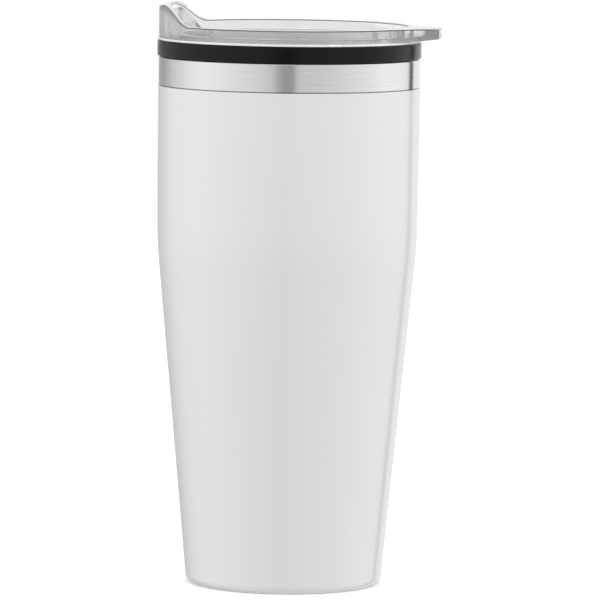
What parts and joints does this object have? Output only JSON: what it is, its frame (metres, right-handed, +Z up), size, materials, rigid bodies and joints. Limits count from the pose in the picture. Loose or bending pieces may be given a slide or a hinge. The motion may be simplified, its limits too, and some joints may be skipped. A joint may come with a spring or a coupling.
{
  "type": "insulated tumbler with lid",
  "caption": "Tapered double-walled steel drinking tumbler with a powder-coated body and a clear push-on lid that has a spout, a thumb tab and a sliding closure.",
  "frame": {"origin": "centre of the foot ring, on the surface that the cup stands on", "axes": "+Z up along the cup, -X towards the drinking spout, +X towards the thumb tab"},
  "size_m": [0.0951, 0.0886, 0.195],
  "materials": {
    "steel": "brushed round the cup",
    "coat": "white powder coat, satin",
    "solder": "dull",
    "getter": "pressed powder",
    "clear_plastic": "clear, polished",
    "black_rubber": "satin black silicone",
    "soft_clear_rubber": "frosted silicone"
  },
  "bodies": {
    "cup": {"outer_shell": "steel", "powder_coat": "coat", "inner_vessel": "steel", "base_pan": "steel", "vacuum_seal": "solder", "base_cover": "steel", "getter_pellet": "getter", "getter_bracket": "steel"},
    "lid": {"lid_body": "clear_plastic", "lid_seal": "black_rubber"},
    "closure": {"slider": "clear_plastic", "slider_pad": "soft_clear_rubber"}
  },
  "joints": [
    {"name": "lid_lift", "type": "slide", "parent": "cup", "child": "lid", "axis": [0, 0, 1], "range_m": [0, 0.06]},
    {"name": "slider_slide", "type": "slide", "parent": "lid", "child": "closure", "axis": [1, 0, 0], "range_m": [0, 0.014]}
  ]
}
